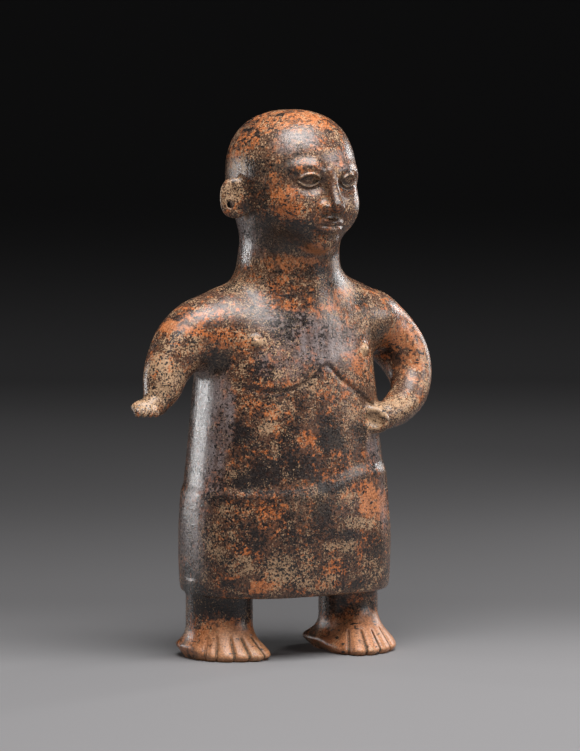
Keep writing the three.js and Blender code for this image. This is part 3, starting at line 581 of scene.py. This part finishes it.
# Surface zones: places where the firing, the slip or wear left another colour, and a few that are painted
# shade, painted light, painted sheen or painted highlights, as marked below. Each is a middle and radii in
# millimetres, and how strong it is, with 1 for the usual most. Their order sets their seeds.
ZONES = {
    "smoke_and_shade": (
        # Head and neck
        ((-37, -32, 340), (14, 16, 9), 0.75), ((-24, -48, 339), (16, 12, 7), 0.6),
        ((-5, -52, 338), (12, 10, 6), 0.35), ((-38, -28, 318), (10, 18, 18), 0.55),
        ((-36, -34, 300), (14, 18, 12), 0.8), ((-16, -49, 297), (14, 12, 10), 0.95),
        # The second zone here, under the chin, is partly painted shadow
        ((-25, -34, 289), (24, 18, 9), 0.95), ((5, -44, 287), (20, 12, 5), 0.5),
        ((-20, -33, 272), (16, 14, 8), 0.45), ((2, -37, 268), (18, 12, 7), 0.7),
        ((20, -34, 264), (14, 14, 8), 0.6),
        # Shoulders, chest and arms
        ((-47, -9, 257), (12, 12, 6), 0.5), ((44, -24, 247), (9, 12, 7), 0.65),
        # The second zone here is painted shade in the right armpit
        ((-90, -8, 237), (8, 9, 5), 1.0), ((-66, -16, 206), (12, 18, 10), 0.9),
        ((-17, -39, 232), (22, 14, 12), 0.45), ((-41, -39, 200), (12, 12, 10), 0.6),
        # Both zones here are painted shade in the left armpit and on the inner side of the left arm
        ((63, -22, 220), (9, 14, 12), 0.7), ((82, -12, 210), (10, 14, 12), 0.75),
        # Belly
        ((-54, -34, 160), (9, 16, 13), 0.75), ((-42, -43, 132), (17, 14, 13), 1.0),
        ((-50, -40, 124), (16, 16, 7), 0.9), ((-14, -45, 176), (6, 8, 6), 1.0),
        ((3, -46, 166), (13, 10, 8), 0.85), ((9, -47, 150), (13, 10, 14), 0.85),
        ((-8, -48, 133), (20, 12, 11), 0.95), ((-24, -46, 146), (14, 10, 12), 0.6),
        # This zone is painted shadow under the left hand
        ((36, -43, 156), (11, 12, 11), 0.8),
        # Skirt
        ((-14, -46, 110), (84, 34, 90), 0.26), ((0, -30, 60), (90, 60, 40), 0.2),
        ((-64, -33, 112), (16, 20, 5), 0.75), ((-17, -51, 114), (22, 14, 4), 0.5),
        ((10, -50, 119), (16, 12, 6), 0.8), ((-25, -51, 101), (14, 12, 6), 0.65),
        ((0, -52, 101), (11, 10, 9), 0.9), ((-4, -53, 88), (16, 10, 8), 0.7),
        ((22, -52, 86), (16, 10, 5), 0.65), ((-18, -53, 84), (10, 10, 4), 0.5),
        ((-50, -45, 84), (16, 14, 8), 0.65), ((-64, -37, 71), (8, 10, 4), 0.6),
        ((-64, -34, 55), (7, 8, 4), 0.85), ((-75, 1, 60), (8, 14, 7), 0.8), ((-76, 0, 48), (10, 24, 7), 0.85),
        ((44, -47, 74), (14, 12, 16), 0.6), ((30, -50, 51), (8, 10, 5), 0.9),
        # Legs, partly dark slip and partly painted shade under the skirt
        ((-71, -13, 38), (16, 22, 10), 0.95), ((-50, -22, 36), (18, 20, 10), 0.95),
        ((40, -20, 30), (26, 30, 12), 0.8),
        # Behind
        ((-40, 52, 180), (40, 30, 34), 0.8), ((30, 52, 95), (36, 26, 26), 0.8),
        ((50, 46, 215), (24, 24, 20), 0.5), ((10, 40, 345), (26, 26, 20), 0.6),
        ((-20, 54, 70), (30, 20, 16), 0.5),
    ),
    "orange": (
        # Head and neck
        ((-14, -20, 372), (44, 44, 14), 0.75), ((-36, -15, 358), (12, 20, 8), 0.8),
        ((-40, -8, 350), (10, 14, 6), 0.8), ((-27, -48, 322), (14, 14, 10), 0.9),
        ((-26, -50, 309), (15, 12, 9), 0.9), ((-14, -54, 341), (14, 10, 7), 0.7),
        # The second zone here and the first on the next line are raised as painted light, lifting the chin's
        # shadow on the neck
        ((0, -56, 312), (9, 12, 10), 0.7), ((-2, -46, 283), (18, 12, 5), 1.0),
        ((-9, -36, 274), (22, 14, 7), 1.0), ((-26, -27, 259), (14, 14, 7), 0.5),
        # Shoulders, chest and arms
        ((-29, -28, 247), (14, 14, 6), 0.8), ((-16, -36, 245), (9, 10, 5), 0.9),
        ((28, -30, 252), (20, 14, 6), 0.7), ((10, -39, 242), (18, 12, 4), 0.85),
        ((-82, -12, 240), (18, 20, 6), 0.5), ((-96, -6, 231), (8, 10, 5), 1.0),
        ((-80, -14, 228), (12, 14, 6), 0.6), ((-57, -27, 222), (16, 14, 10), 1.0),
        ((-101, -19, 204), (5, 8, 9), 0.85), ((-108, -10, 200), (5, 14, 14), 0.6),
        ((36, -40, 205), (12, 12, 12), 0.6), ((83, -12, 222), (20, 14, 14), 0.6),
        ((97, -18, 208), (10, 16, 14), 0.7),
        # Lower edge of the breasts, and belly
        ((-28, -42, 192), (24, 10, 4), 0.8), ((29, -42, 190), (14, 10, 5), 0.85),
        ((-41, -40, 177), (16, 14, 8), 0.5), ((10, -44, 183), (14, 12, 8), 0.5),
        ((26, -43, 184), (14, 12, 9), 0.6), ((-10, -47, 152), (10, 10, 7), 0.75),
        ((21, -47, 137), (9, 10, 8), 0.6), ((0, -49, 123), (14, 10, 5), 0.4),
        # Skirt
        ((41, -46, 107), (16, 16, 14), 1.0), ((54, -37, 102), (12, 14, 16), 0.9),
        ((30, -50, 117), (14, 12, 7), 0.8), ((-41, -47, 103), (18, 14, 6), 0.5),
        ((-58, -40, 79), (12, 12, 6), 0.5), ((-45, -47, 53), (18, 12, 6), 0.9),
        ((-16, -52, 50), (14, 10, 4), 0.7), ((9, -53, 62), (14, 10, 6), 0.8),
        ((2, -53, 52), (16, 10, 5), 0.8),
        # Feet
        ((-50, -20, 8), (40, 50, 26), 0.9), ((50, -24, 8), (40, 50, 26), 0.9),
        # Behind
        ((-45, 50, 110), (30, 24, 30), 0.6), ((55, 30, 190), (30, 30, 26), 0.6),
        ((0, 44, 250), (50, 30, 14), 0.6),
    ),
    "tan": (
        # Head
        ((-42, -6, 340), (14, 24, 12), 0.6), ((-48, -10, 322), (12, 18, 16), 0.8),
        # Shoulders, chest and arms
        ((-90, -20, 219), (16, 16, 12), 0.8), ((-106, -17, 200), (18, 18, 18), 1.0),
        ((-115, -16, 184), (14, 16, 12), 1.0), ((-119, -18, 176), (14, 12, 8), 1.0),
        ((-40, -38, 218), (14, 14, 10), 0.45), ((-24, -44, 199), (18, 12, 6), 0.7),
        ((-44, -10, 256), (26, 24, 8), 0.5), ((40, -22, 254), (22, 20, 8), 0.6),
        ((100, -22, 196), (12, 20, 20), 0.6), ((71, -36, 174), (20, 14, 12), 0.9),
        ((52, -41, 166), (14, 12, 12), 1.0),
        # Belly
        ((-37, -42, 163), (11, 10, 7), 1.0), ((-27, -44, 173), (16, 10, 7), 0.6),
        ((-33, -44, 146), (3.5, 8, 11), 0.9), ((0, -45, 190), (26, 12, 8), 0.45),
        ((26, -44, 170), (12, 12, 14), 0.5),
        # Skirt and feet
        ((-63, -35, 104), (14, 18, 7), 0.6), ((-71, -24, 86), (12, 20, 16), 0.55),
        ((-26, -52, 65), (24, 14, 13), 1.0), ((-6, -53, 55), (22, 12, 8), 0.85),
        ((13, -53, 78), (16, 12, 5), 0.8), ((43, -48, 58), (14, 14, 10), 0.7),
        ((-58, -41, 66), (10, 12, 10), 1.0), ((34, -48, 93), (20, 14, 7), 0.7),
        # The last zone here and the first on the next line are painted highlights on the nipples
        ((20, -51, 112), (10, 12, 11), 0.7), ((-42, -38, 220), (7, 8, 6), 1.6),
        ((44, -37, 213), (5, 8, 5), 1.2), ((-50, -24, 4), (34, 40, 8), 0.5), ((50, -30, 4), (34, 40, 8), 0.5),
        # Behind
        ((0, 55, 150), (50, 24, 30), 0.5), ((40, 50, 60), (30, 24, 20), 0.5),
        ((-70, 20, 225), (30, 26, 16), 0.5),
    ),
    # Partly the real polished slip and partly a painted sheen: these zones lie where the lights' highlights
    # fall on the flanks, neck, chest, forehead and shoulder
    "film_and_sheen": (
        ((-68, -5, 158), (14, 34, 60), 1.0), ((-61, -27, 170), (6, 14, 24), 0.8),
        ((-74, 2, 90), (10, 30, 34), 0.8), ((-34, -4, 292), (12, 24, 20), 1.0),
        ((-32, -24, 294), (12, 12, 10), 0.7), ((2, -42, 220), (36, 18, 24), 1.0),
        ((-17, -39, 234), (30, 14, 10), 0.8), ((-22, -42, 206), (24, 14, 18), 0.5),
        ((48, -38, 143), (10, 18, 16), 0.8), ((57, -34, 98), (8, 20, 30), 0.6),
        ((-17, -46, 356), (18, 14, 9), 0.7), ((14, -50, 345), (16, 14, 8), 0.6),
        ((82, -10, 232), (14, 16, 10), 0.5), ((-50, 34, 170), (50, 30, 80), 0.6),
        ((40, 40, 300), (30, 40, 30), 0.6),
    ),
    "speck": (
        ((44, -44, 106), (18, 16, 14), 0.6), ((-112, -16, 188), (16, 16, 18), 0.35),
        ((-10, -20, 372), (44, 44, 14), 0.3), ((-26, -52, 65), (26, 16, 15), 1.0),
        ((-6, -53, 58), (24, 14, 12), 1.0), ((12, -53, 68), (22, 14, 16), 0.8),
        ((43, -48, 68), (22, 16, 18), 0.9), ((-63, -36, 100), (18, 20, 12), 0.8),
        ((-92, -20, 218), (20, 18, 14), 0.7), ((-103, -18, 205), (16, 18, 16), 0.6),
        ((-68, -28, 80), (16, 26, 26), 0.7), ((-60, -25, 225), (20, 18, 14), 0.6),
        ((-30, -40, 180), (30, 16, 16), 0.5), ((-20, -28, 256), (34, 20, 12), 0.5),
        ((20, 54, 130), (50, 20, 50), 0.5),
    ),
    "dash": (
        ((-27, -49, 316), (20, 16, 16), 0.6), ((-24, -12, 366), (30, 40, 16), 1.0),
        ((8, -34, 368), (20, 24, 10), 0.6),
    ),
    # Painted shade: the flecks are darkened over the lower body and skirt, whose front faces get less light
    "lower_body_shade": (
        ((-10, -30, 110), (100, 70, 85), 1.0),
    ),
    "clean_and_lit": (
        ((-52, -20, 4), (44, 54, 24), 1.0), ((52, -26, 4), (44, 54, 26), 0.8),
        ((46, -43, 106), (22, 20, 18), 0.38), ((-45, -47, 53), (16, 12, 5), 0.2),
        ((96, -14, 204), (24, 26, 36), 0.36), ((-90, -10, 233), (18, 16, 9), 0.4),
        # The second zone here and the zone on the next line are painted light, lifting the chin's shadow on
        # the front of the neck
        ((-14, -30, 370), (40, 40, 12), 0.2), ((-2, -46, 283), (20, 14, 6), 0.5),
        ((-9, -36, 274), (22, 14, 7), 0.35),
    ),
}


def zone_strength(p, zones, seed):
    """How strongly each point lies in any of the zones, with uneven borders"""
    ragged = sum(share * soft_noise(p, cell, seed + k) for k, (share, cell) in enumerate(RAGGED))
    strength = np.zeros(p.shape[1])
    for centre, radii, most in zones:
        far = np.linalg.norm((p - np.array(centre)[:, None]) / np.array(radii)[:, None], axis=0)
        strength = np.maximum(strength, most * smoothstep(far + ragged, *ZONE_EDGE))
    return strength


def closeness(p, n, reach):
    """Up to 1 in a deep crease and 0 elsewhere, or, with a negative reach, up to 1 on a sharp ridge"""
    return np.clip(1 - figure(p + n * reach) / reach, 0, 1)


def store(mesh, name, values):
    attribute = mesh.attributes.new(name, "FLOAT", "POINT")
    attribute.data.foreach_set("value", values.astype(np.float32))


def mesh_from(name, points, faces):
    mesh = bpy.data.meshes.new(name)
    mesh.vertices.add(points.shape[1])
    mesh.vertices.foreach_set("co", points.T.astype(np.float32).ravel())
    mesh.loops.add(faces.size)
    mesh.loops.foreach_set("vertex_index", faces.astype(np.int32).ravel())
    mesh.polygons.add(len(faces))
    mesh.polygons.foreach_set("loop_start", np.arange(len(faces), dtype=np.int32) * faces.shape[1])
    mesh.update(calc_edges=True)
    mesh.validate()
    return mesh


def thinned(mesh, most):
    """The mesh with at most the given number of triangles, and the finer ones where it curves most"""
    holder = bpy.data.objects.new("holder", mesh)
    bpy.context.scene.collection.objects.link(holder)
    modifier = holder.modifiers.new("thin", "DECIMATE")
    modifier.ratio = min(1, most / (2 * len(mesh.polygons)))
    modifier.use_collapse_triangulate = True
    evaluated = holder.evaluated_get(bpy.context.evaluated_depsgraph_get())
    result = bpy.data.meshes.new_from_object(evaluated)
    bpy.data.objects.remove(holder)
    bpy.data.meshes.remove(mesh)
    return result


def build_woman(sizes):
    step = sizes.mesh_step / MM * 1
    points, quads = surface(step)
    points = hand_worked(points, sizes)
    mesh = thinned(mesh_from("clay_woman", points, quads), sizes.most_triangles)
    flat = np.zeros(3 * len(mesh.vertices), np.float32)
    mesh.vertices.foreach_get("co", flat)
    p = flat.reshape(-1, 3).T.astype(float)
    _, g = slope_at(p)
    n = g / np.linalg.norm(g, axis=0)
    for number, (name, zones) in enumerate(ZONES.items()):
        store(mesh, name, zone_strength(p, zones, FIRST_ZONE_SEED + 10 * number))
    store(mesh, "crease", np.maximum(*(closeness(p, n, reach) for reach in CREASE_REACHES)))
    store(mesh, "ridge", closeness(p, n, -RIDGE_REACH))
    middle = (p.min(1) + p.max(1)) / 2
    move = Matrix.Translation((-middle[0], -middle[1], 0))
    mesh.transform(Matrix.Scale(MM, 4) @ move)
    for polygon in mesh.polygons:
        polygon.use_smooth = True
    woman = bpy.data.objects.new("clay_woman", mesh)
    bpy.context.scene.collection.objects.link(woman)
    return woman


# Materials


class Nodes:
    """Builds a material's node tree with short calls"""

    def __init__(self, name):
        self.material = bpy.data.materials.new(name)
        self.material.use_nodes = True
        self.tree = self.material.node_tree
        self.shader = self.tree.nodes["Principled BSDF"]
        self.place = self.tree.nodes.new("ShaderNodeTexCoord").outputs["Object"]

    def feed(self, socket, value):
        if isinstance(value, bpy.types.NodeSocket):
            self.tree.links.new(value, socket)
        else:
            socket.default_value = value

    def new(self, kind, inputs, **settings):
        """A node with its settings, and its input sockets by name or number set or linked"""
        node = self.tree.nodes.new("ShaderNode" + kind)
        for name, value in settings.items():
            setattr(node, name, value)
        for socket, value in inputs.items():
            self.feed(node.inputs[socket], value)
        return node

    def moved(self, scale, shift=(0, 0, 0)):
        """The place of the pattern, stretched where the scale is small, and shifted"""
        inputs = {"Vector": self.place, "Location": shift, "Scale": scale}
        return self.new("Mapping", inputs).outputs["Vector"]

    def noise(self, scale, detail, rough, place=None):
        inputs = {"Vector": place or self.place, "Scale": scale, "Detail": detail, "Roughness": rough}
        return self.new("TexNoise", inputs).outputs["Fac"]

    def spots(self, scale):
        """How far the place lies from the nearest of many scattered points"""
        return self.new("TexVoronoi", {"Vector": self.place, "Scale": scale}).outputs["Distance"]

    def along(self, way):
        """How far the place lies in the given way"""
        return self.new("VectorMath", {0: self.place, 1: way}, operation="DOT_PRODUCT").outputs["Value"]

    def zone(self, name):
        return self.new("Attribute", {}, attribute_name=name).outputs["Fac"]

    def plus(self, a, b):
        return self.new("Math", {0: a, 1: b}, operation="ADD").outputs[0]

    def minus(self, a, b):
        return self.new("Math", {0: a, 1: b}, operation="SUBTRACT").outputs[0]

    def times(self, a, b):
        return self.new("Math", {0: a, 1: b}, operation="MULTIPLY").outputs[0]

    def most(self, a, b):
        return self.new("Math", {0: a, 1: b}, operation="MAXIMUM").outputs[0]

    def step(self, value, low, high, to_low=0.0, to_high=1.0):
        """A smooth step from one amount to the other, as the value goes from low to high"""
        inputs = dict(enumerate((value, low, high, to_low, to_high)))
        return self.new("MapRange", inputs, interpolation_type="SMOOTHSTEP").outputs[0]

    def mix(self, amount, a, b):
        """A colour between two. Sockets 6 and 7 are the node's inputs for colours, and output 2 gives one."""
        return self.new("Mix", {0: amount, 6: a, 7: b}, data_type="RGBA").outputs[2]

    def brighter(self, colour, amount):
        """The colour times a changing amount"""
        inputs = {"Vector": colour, "Scale": amount}
        return self.new("VectorMath", inputs, operation="SCALE").outputs["Vector"]

    def bump(self, height, distance, strength=1.0, normal=None):
        inputs = {"Strength": strength, "Distance": distance, "Height": height}
        if normal:
            inputs["Normal"] = normal
        return self.new("Bump", inputs).outputs["Normal"]


def burnished_clay(colours):
    """Reddish slip over buff clay, clouded with soot in firing and with painted shade, under a film that is
    partly a painted sheen, specked with black and softly polished
    """
    n = Nodes("burnished_clay")
    names = ("buff", "orange", "brown", "film_and_sheen", "smoke_and_shade", "crease_dark")
    buff, orange, brown, film_and_sheen, smoke_and_shade, crease_dark = ((*getattr(colours, name), 1) for name in names)

    def mottle(scale, cluster, shift, zone, gain):
        """Fine noise in clusters, which is raised where the zone is strong"""
        place = n.moved((1, 1, 1), (shift, -shift, 2 * shift))
        clusters = n.times(n.minus(n.noise(cluster, 5, 0.65, place), 0.5), 0.6)
        return n.plus(n.plus(n.noise(scale, 4, 0.6, place), clusters), n.times(n.zone(zone), gain))

    grain = n.noise(750, 3, 0.6)
    cloud = n.noise(60, 5, 0.65)
    streak = n.noise(170, 5, 0.6, n.moved((1, 1, 0.2)))
    # The clean zone makes the slip paler, warmer and plainer: bare clay, and painted light on the front of
    # the neck
    bare_and_lit = n.zone("clean_and_lit")
    clean_and_lit = n.times(bare_and_lit, 0.28)

    # Slip: brown, or orange where it is bright, and paler and plainer where the clay is bare, and also where
    # painted light lifts the chin's shadow on the front of the neck. Over it lie a glossy purple-grey film,
    # partly a painted sheen of the lights, and clouds of soot, partly painted shade in the armpits, under the
    # chin and hand and on the legs.
    warm = n.step(n.plus(mottle(260, 50, 1.3, "orange", 0.19), n.times(bare_and_lit, 0.15)), 0.52, 0.7)
    slip = n.mix(warm, brown, n.mix(n.times(bare_and_lit, 0.5), orange, buff))
    slip = n.mix(n.times(n.step(streak, 0.5, 0.62), 0.3), slip, brown)
    # Painted sheen: the film's paler purple-grey is laid over the slip in the film zones
    film_and_sheen_cover = n.times(n.zone("film_and_sheen"), n.step(n.plus(cloud, streak), 0.88, 1.1, 0.45, 0.95))
    colour = n.mix(film_and_sheen_cover, slip, film_and_sheen)
    # Soot clouds, and painted shade where the smoke zones lie in the armpits, under the chin and the hand,
    # and on the legs
    soot_and_shade = n.step(n.minus(mottle(430, 60, 4.1, "smoke_and_shade", 0.23), clean_and_lit), 0.55, 0.63)
    colour = n.mix(n.times(soot_and_shade, 0.92), colour, smoke_and_shade)

    # Worn flecks of buff clay, fewer on smooth places and darkened on the lower body as painted shade, with
    # painted highlights on the nipples, then black specks and dashes
    smooth = n.times(n.most(n.zone("smoke_and_shade"), n.most(n.zone("film_and_sheen"), bare_and_lit)), 0.08)
    flecks = n.step(n.minus(mottle(900, 110, 2.7, "tan", 0.135), smooth), 0.55, 0.64)
    flecks = n.times(flecks, n.step(n.zone("lower_body_shade"), 0, 1, 0.95, 0.68))
    colour = n.mix(flecks, colour, buff)
    dot = n.plus(n.times(n.noise(330, 2, 0.5), 0.8), n.times(n.zone("speck"), 0.16))
    dots = n.step(n.minus(n.minus(dot, clean_and_lit), n.spots(480)), 0.14, 0.2)
    dash = n.noise(420, 2, 0.5, n.moved((0.4, 0.4, 1), (7, 3, 5)))
    dashes = n.step(n.plus(dash, n.times(n.zone("dash"), 0.1)), 0.66, 0.69)
    blackness = n.most(dots, dashes)
    colour = n.mix(n.times(blackness, 0.96), colour, smoke_and_shade)

    # Bare clay along worn ridges, and a darker colour laid in the creases
    worn = n.times(n.zone("ridge"), n.step(grain, 0.4, 0.6))
    colour = n.mix(n.times(worn, 0.45), colour, buff)
    crease_darkening = n.step(n.times(n.zone("crease"), n.step(grain, 0.4, 0.6, 0.5, 1.0)), 0.3, 0.75)
    colour = n.mix(crease_darkening, colour, crease_dark)
    n.feed(n.shader.inputs["Base Color"], n.brighter(colour, n.step(grain, 0.35, 0.65, 0.72, 1.25)))

    # Gloss: best on the film, and dull on flecks, bare clay and the darkened creases
    rough = n.step(n.plus(grain, cloud), 0.85, 1.15, colours.gloss, colours.gloss + 0.14)
    rough = n.plus(rough, n.times(n.most(flecks, bare_and_lit), 0.18))
    rough = n.minus(rough, n.times(film_and_sheen_cover, 0.07))
    n.feed(n.shader.inputs["Roughness"], n.step(crease_darkening, 0.0, 1.0, rough, 0.85))

    # Relief: fine grain with raised specks, on the long marks of the polishing stone
    relief = n.plus(grain, n.times(blackness, 0.12))
    n.feed(n.shader.inputs["Normal"], n.bump(streak, 0.0006, 0.6, n.bump(relief, 0.0002)))
    return n.material


def studio_floor(settings):
    """Plain paper with painted shade for the lights' falloff: pale under the figure, duller behind it and
    dark up the backdrop
    """
    n = Nodes("studio_floor")
    behind = (-math.sin(settings.camera_turn), math.cos(settings.camera_turn))
    depth = n.along((*behind, 0))
    height_and_depth = n.along((*behind, 1))

    # Painted shade and light for the lights' falloff: each step goes from one place to another, in metres,
    # and from one share of the colour to another
    shade = n.times(n.step(depth, -0.1, 0.3, 1.0, 0.5), n.step(depth, 0.9, 2.4, 1.0, 2.0))
    shade = n.times(shade, n.step(height_and_depth, 3.2, 4.6, 1.0, 0.13))
    n.feed(n.shader.inputs["Base Color"], n.brighter(tuple(settings.floor_colour), shade))
    n.shader.inputs["Roughness"].default_value = 0.7
    return n.material


# Stage, in metres

SWEEP = {"width": 9.0, "front": -4.0, "back": 3.2, "bend": 2.0, "top": 4.5, "strips": 32}
PICTURE_MIDDLE = (0.01205, 0.0071, 0.194)

# Name, bearing from the figure's front and height angle in degrees, distance, size, and power in watts
LIGHTS = (
    ("key_light", -6, 66, 1.3, (1.3, 0.9), 39),
    ("chest_light", 50, 18, 1.7, (0.5, 0.5), 8),
    ("left_light", -144, 2, 1.3, (0.06, 0.4), 4.1),
    ("right_light", 104, 14, 1.3, (0.12, 0.5), 4.6),
)
ROOM_LIGHT = {"Color": (0.55, 0.57, 0.6, 1), "Strength": 0.045}
SENSOR_WIDTH = 36


def sweep(settings):
    """A floor that curves up into a backdrop behind the figure"""
    back, bend = SWEEP["back"], SWEEP["bend"]
    turns = [math.pi / 2 * k / SWEEP["strips"] for k in range(SWEEP["strips"] + 1)]
    outline = [(SWEEP["front"], 0.0)]
    outline += [(back + bend * math.sin(turn), bend * (1 - math.cos(turn))) for turn in turns]
    outline += [(back + bend, SWEEP["top"])]
    corners = [(side * SWEEP["width"] / 2, y, z) for y, z in outline for side in (-1, 1)]
    faces = [(2 * k, 2 * k + 1, 2 * k + 3, 2 * k + 2) for k in range(len(outline) - 1)]
    mesh = bpy.data.meshes.new("studio_sweep")
    mesh.from_pydata(corners, [], faces)
    mesh.transform(Matrix.Rotation(settings.camera_turn, 4, "Z"))
    for polygon in mesh.polygons:
        polygon.use_smooth = True
    floor = bpy.data.objects.new("studio_sweep", mesh)
    bpy.context.scene.collection.objects.link(floor)
    mesh.materials.append(studio_floor(settings))


def aimed(name, data, bearing, rise, distance):
    """An object that looks at the middle of the picture, from a bearing round it and a height angle"""
    level = distance * math.cos(rise)
    offset = Vector((math.sin(bearing) * level, -math.cos(bearing) * level, distance * math.sin(rise)))
    stand = bpy.data.objects.new(name, data)
    stand.location = Vector(PICTURE_MIDDLE) + offset
    stand.rotation_euler = (-offset).to_track_quat("-Z", "Y").to_euler()
    bpy.context.scene.collection.objects.link(stand)
    return stand


def soft_light(name, turn, rise, distance, size, power):
    """An oblong area light, its bearing counted from the figure's front"""
    light = bpy.data.lights.new(name, "AREA")
    light.shape = "RECTANGLE"
    light.size, light.size_y = size
    light.energy = power
    aimed(name, light, math.radians(turn), math.radians(rise), distance)


def stand_camera(settings):
    camera = bpy.data.cameras.new("camera")
    camera.lens = settings.lens
    camera.sensor_width = SENSOR_WIDTH
    rise = math.asin((settings.camera_height - PICTURE_MIDDLE[2]) / settings.camera_distance)
    stand = aimed("camera", camera, settings.camera_turn, rise, settings.camera_distance)
    bpy.context.scene.camera = stand


class WomanSizes(bpy.types.PropertyGroup):
    mesh_step: FloatProperty(
        name="Mesh step", description="Spacing of the surface before it is thinned out", default=0.0009,
        unit="LENGTH", precision=4,
    )
    most_triangles: IntProperty(
        name="Most triangles", description="The mesh is thinned out to this number", default=190_000,
    )
    dent_depth: FloatProperty(
        name="Dent depth", description="How uneven the hand-worked surface is", default=0.0005,
        unit="LENGTH", precision=4,
    )


class ClayColours(bpy.types.PropertyGroup):
    buff: FloatVectorProperty(
        name="Buff", description="Clay that shows where the slip is worn", default=(0.45, 0.28, 0.16),
        subtype="COLOR", min=0, max=1,
    )
    orange: FloatVectorProperty(
        name="Orange", description="Bright slip", default=(0.46, 0.138, 0.042), subtype="COLOR", min=0, max=1,
    )
    brown: FloatVectorProperty(
        name="Brown", description="Slip dulled by the fire", default=(0.09, 0.043, 0.027), subtype="COLOR",
        min=0, max=1,
    )
    # Partly the colour of the real polished slip, partly a painted sheen of the lights
    film_and_sheen: FloatVectorProperty(
        name="Film", description="Purple-grey bloom on the polished slip", default=(0.23, 0.185, 0.18),
        subtype="COLOR", min=0, max=1,
    )
    # Also laid as painted shade in the armpits, under the chin and the left hand, and on the legs under the
    # skirt
    smoke_and_shade: FloatVectorProperty(
        name="Smoke", description="Fire clouds and black specks", default=(0.016, 0.014, 0.014),
        subtype="COLOR", min=0, max=1,
    )
    # A dark colour laid in the creases
    crease_dark: FloatVectorProperty(
        name="Silt", description="Earth left in the creases", default=(0.1, 0.07, 0.045), subtype="COLOR",
        min=0, max=1,
    )
    gloss: FloatProperty(
        name="Gloss", description="Roughness of the best polished places", default=0.2, min=0, max=1,
        subtype="FACTOR",
    )


class StudioSettings(bpy.types.PropertyGroup):
    floor_colour: FloatVectorProperty(
        name="Floor", description="Colour of the floor by the figure", default=(0.202, 0.196, 0.2),
        subtype="COLOR", min=0, max=1,
    )
    light_power: FloatProperty(
        name="Light", description="Strength of all the lights together", default=1.0, min=0,
    )
    camera_turn: FloatProperty(
        name="Camera turn", description="Bearing of the camera from the figure's front",
        default=math.radians(-30), subtype="ANGLE",
    )
    camera_height: FloatProperty(
        name="Camera height", description="Height of the camera over the floor", default=0.322, unit="LENGTH",
    )
    camera_distance: FloatProperty(
        name="Camera distance", description="From the camera to the middle of the picture", default=2.2,
        unit="LENGTH",
    )
    lens: FloatProperty(name="Lens", description="Focal length", default=150.2, unit="CAMERA")


class OBJECT_OT_add_clay_woman(bpy.types.Operator):
    """Add the standing woman of burnished clay"""

    bl_idname = "object.add_clay_woman"
    bl_label = "Add Clay Woman"

    def execute(self, context):
        woman = build_woman(context.scene.woman_sizes)
        woman.data.materials.append(burnished_clay(context.scene.clay_colours))
        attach(woman, "root")
        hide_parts("figure")
        return {"FINISHED"}


class OBJECT_OT_add_studio(bpy.types.Operator):
    """Add the plain floor, the soft lights and the camera"""

    bl_idname = "object.add_studio"
    bl_label = "Add Studio"

    def execute(self, context):
        settings = context.scene.studio_settings
        sweep(settings)
        for *place, power in LIGHTS:
            soft_light(*place, power * settings.light_power)
        world = bpy.data.worlds.new("studio")
        world.use_nodes = True
        for name, value in ROOM_LIGHT.items():
            world.node_tree.nodes["Background"].inputs[name].default_value = value
        context.scene.world = world
        context.scene.view_settings.view_transform = "Standard"
        stand_camera(settings)
        return {"FINISHED"}


class VIEW3D_PT_clay_woman(bpy.types.Panel):
    bl_label = "Clay Woman"
    bl_space_type = "VIEW_3D"
    bl_region_type = "UI"
    bl_category = "Clay"

    def draw(self, context):
        groups = (
            (context.scene.woman_sizes, OBJECT_OT_add_clay_woman),
            (context.scene.clay_colours, None),
            (context.scene.studio_settings, OBJECT_OT_add_studio),
        )
        for settings, operator in groups:
            box = self.layout.box()
            for name in settings.__annotations__:
                box.prop(settings, name)
            if operator:
                box.operator(operator.bl_idname)


CLASSES = (
    WomanSizes, ClayColours, StudioSettings,
    OBJECT_OT_add_clay_woman, OBJECT_OT_add_studio, VIEW3D_PT_clay_woman,
)


def register():
    for cls in CLASSES:
        bpy.utils.register_class(cls)
    bpy.types.Scene.woman_sizes = PointerProperty(type=WomanSizes)
    bpy.types.Scene.clay_colours = PointerProperty(type=ClayColours)
    bpy.types.Scene.studio_settings = PointerProperty(type=StudioSettings)


def unregister():
    del bpy.types.Scene.studio_settings
    del bpy.types.Scene.clay_colours
    del bpy.types.Scene.woman_sizes
    for cls in reversed(CLASSES):
        bpy.utils.unregister_class(cls)


def main():
    register()
    bpy.ops.object.add_clay_woman()
    bpy.ops.object.add_studio()


if __name__ == "__main__":
    main()
